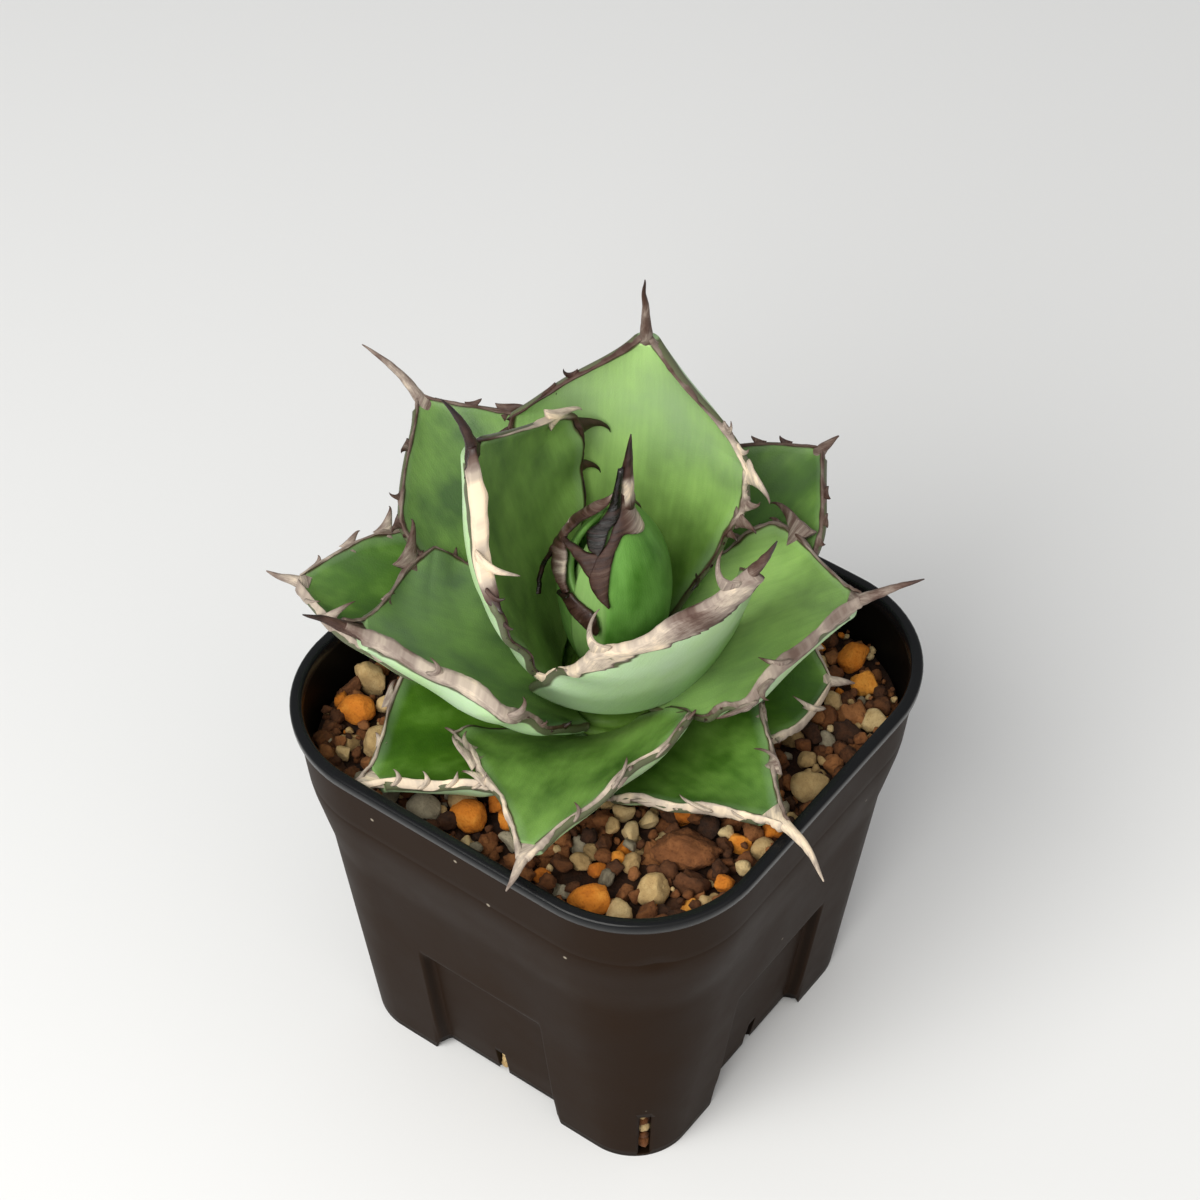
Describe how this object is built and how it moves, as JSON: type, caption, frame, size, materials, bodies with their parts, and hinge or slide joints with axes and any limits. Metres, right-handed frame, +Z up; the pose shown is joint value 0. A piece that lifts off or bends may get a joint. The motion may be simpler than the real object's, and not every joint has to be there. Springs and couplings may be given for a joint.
{
  "type": "potted agave titanota",
  "caption": "Rosette of thick channelled leaves with horny toothed margins and terminal spines, in a square tapered nursery pot of gritty soil.",
  "frame": {"origin": "on the surface the pot stands on, under the middle of the whole object's box", "axes": "+Z up, X and Y along the sides of the square pot"},
  "size_m": [0.136, 0.1135, 0.173],
  "materials": {
    "pot_plastic": "near-black press-moulded plastic, half matt",
    "stem": "dry, matt",
    "leaf": "waxy green skin, half matt, with a blue-grey bloom on the back",
    "leaf_bud": "waxy blue-green skin",
    "leaf_young": "pale young green skin, half matt",
    "horn_old": "dry grey-cream horn, matt",
    "horn_pale": "dry cream horn, matt",
    "horn_brown": "dark red-brown horn, half matt",
    "stone_brown": "porous red-brown clay stone, matt",
    "stone_orange": "orange clay stone, matt",
    "stone_cream": "cream pumice, matt",
    "stone_grey": "grey pumice, matt",
    "soil": "dark red-brown grit, matt"
  },
  "bodies": {
    "root": {"pot": "pot_plastic", "stem": "stem", "bud_heart": "leaf_young", "bud_leaf_left_blade": "leaf_bud", "bud_leaf_left_margin": "horn_brown", "bud_leaf_right_blade": "leaf_bud", "bud_leaf_right_margin": "horn_brown", "leaf_01_blade": "leaf", "leaf_01_margin": "horn_pale", "leaf_02_blade": "leaf", "leaf_02_margin": "horn_old", "leaf_03_blade": "leaf", "leaf_03_margin": "horn_brown", "leaf_04_blade": "leaf", "leaf_04_margin": "horn_old", "leaf_05_blade": "leaf", "leaf_05_margin": "horn_old", "leaf_06_blade": "leaf", "leaf_06_margin": "horn_old", "leaf_07_blade": "leaf", "leaf_07_margin": "horn_old", "leaf_08_blade": "leaf", "leaf_08_margin": "horn_old", "leaf_09_blade": "leaf", "leaf_09_margin": "horn_old", "leaf_10_blade": "leaf", "leaf_10_margin": "horn_old", "leaf_11_blade": "leaf", "leaf_11_margin": "horn_old", "leaf_12_blade": "leaf", "leaf_12_margin": "horn_pale", "leaf_13_blade": "leaf", "leaf_13_margin": "horn_old", "leaf_14_blade": "leaf", "leaf_14_margin": "horn_old", "stone_brown_large": "stone_brown", "stone_orange_front": "stone_orange", "stone_orange_left": "stone_orange", "stone_orange_back": "stone_orange", "stone_orange_far_left": "stone_orange", "stone_cream_front": "stone_cream", "stone_cream_right": "stone_cream", "stone_tan_left": "stone_cream", "stone_grey_left": "stone_grey", "soil": "soil"}
  },
  "joints": []
}
